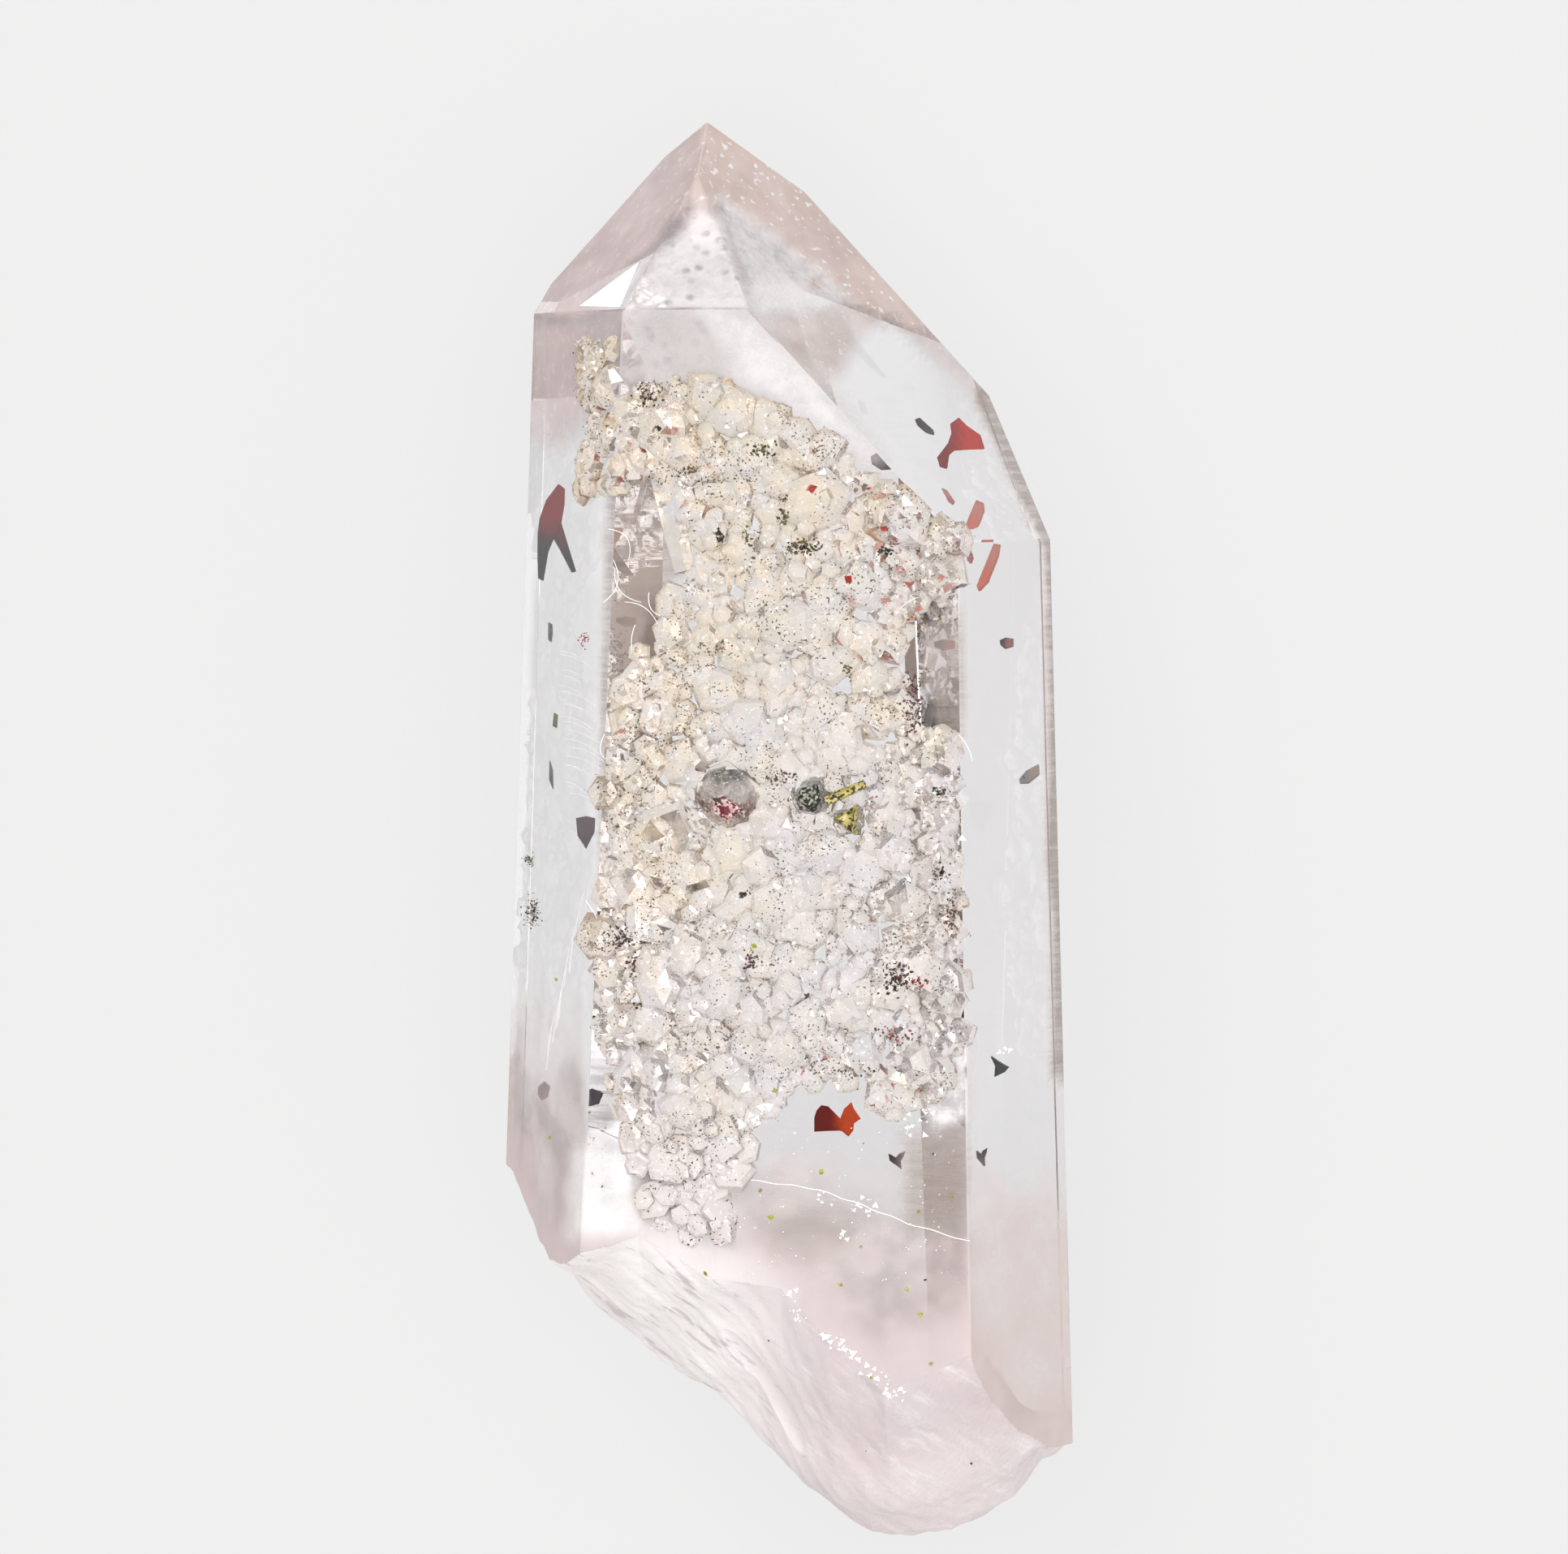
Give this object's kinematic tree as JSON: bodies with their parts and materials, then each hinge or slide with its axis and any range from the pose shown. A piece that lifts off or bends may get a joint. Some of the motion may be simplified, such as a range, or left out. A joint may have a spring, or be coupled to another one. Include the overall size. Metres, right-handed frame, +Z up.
{
  "type": "harlequin quartz crystal",
  "caption": "Loose natural quartz point lying on a prism face, with a druse of small crystals on its top face, a broken base and red and black iron ore flakes sealed inside.",
  "frame": {"origin": "under the middle of the crystal, on the surface that it lies on", "axes": "+Y along the crystal towards its tip, +X to the right seen from above with the tip up, +Z up out of the face that carries the druse"},
  "size_m": [0.0152, 0.0372, 0.012],
  "materials": {
    "clear_quartz": "clear, glossy, frosted towards the broken base",
    "red_iron_ore": "thin translucent red flakes",
    "black_iron_ore": "dark, slightly metallic",
    "grey_iron_ore": "soft grey, slightly translucent"
  },
  "bodies": {
    "root": {"quartz_druse_half": "clear_quartz", "quartz_back_half": "clear_quartz", "hematite_blade": "red_iron_ore", "red_star_flake": "red_iron_ore", "dark_rod": "black_iron_ore", "small_red_sliver": "red_iron_ore", "red_streak": "red_iron_ore", "red_twin_flake": "red_iron_ore", "black_star_flake": "black_iron_ore", "purple_kite_flake": "black_iron_ore", "two_tone_bar": "red_iron_ore", "smoky_flake": "grey_iron_ore", "black_chip": "black_iron_ore", "blurred_dark_flake": "grey_iron_ore", "upper_grey_needle": "grey_iron_ore", "olive_needle": "grey_iron_ore", "lower_grey_needle": "grey_iron_ore"}
  },
  "joints": []
}
